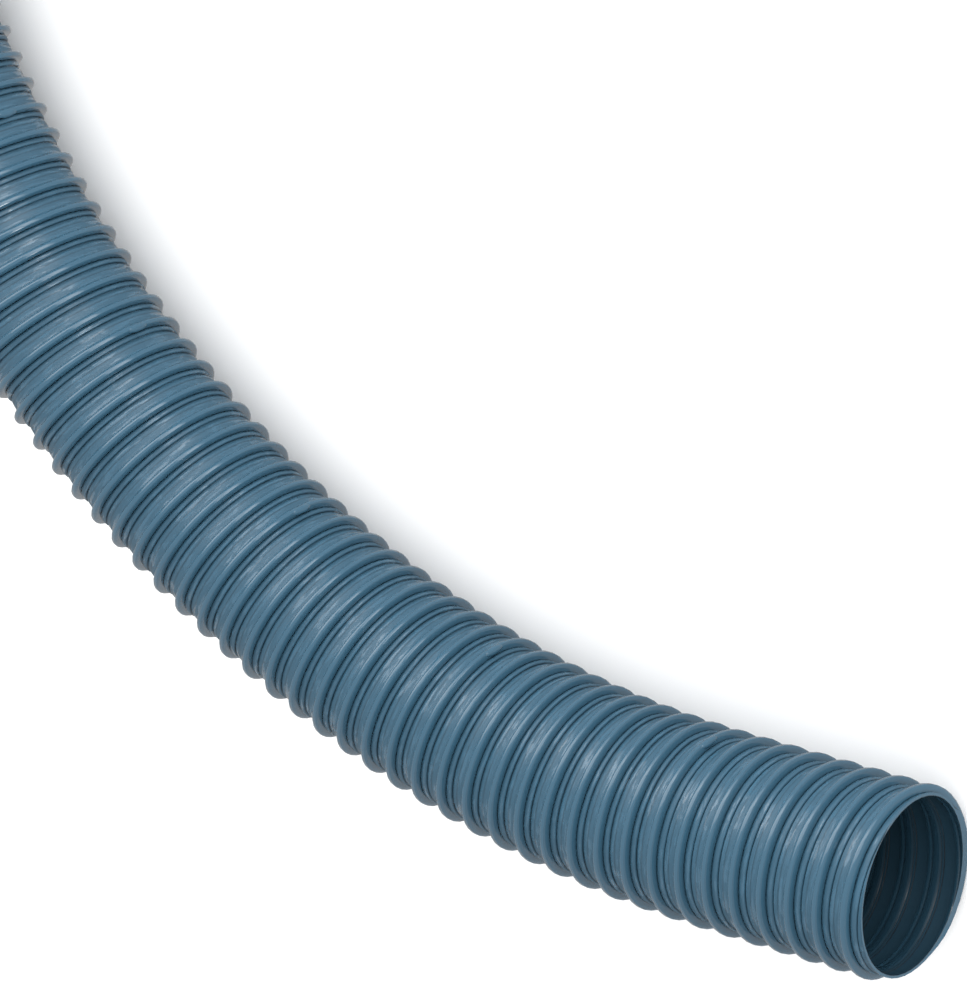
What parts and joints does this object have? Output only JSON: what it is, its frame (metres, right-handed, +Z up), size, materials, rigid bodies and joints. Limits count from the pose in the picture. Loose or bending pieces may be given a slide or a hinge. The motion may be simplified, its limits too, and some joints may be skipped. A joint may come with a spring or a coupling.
{
  "type": "blower duct hose",
  "caption": "Spiral-wound ribbed plastic duct hose in blue grey, bent in a slow curve on the floor, with both ends cut square and open.",
  "frame": {"origin": "on the floor, under the middle of the hose's bounding box", "axes": "+X points out of the front open end, +Y along the hose's longer reach on the floor, +Z up"},
  "size_m": [0.8536, 1.0832, 0.1142],
  "materials": {
    "hose_plastic": "moulded, satin to gloss, with fine extrusion lines"
  },
  "bodies": {
    "root": {"duct_hose": "hose_plastic"}
  },
  "joints": []
}
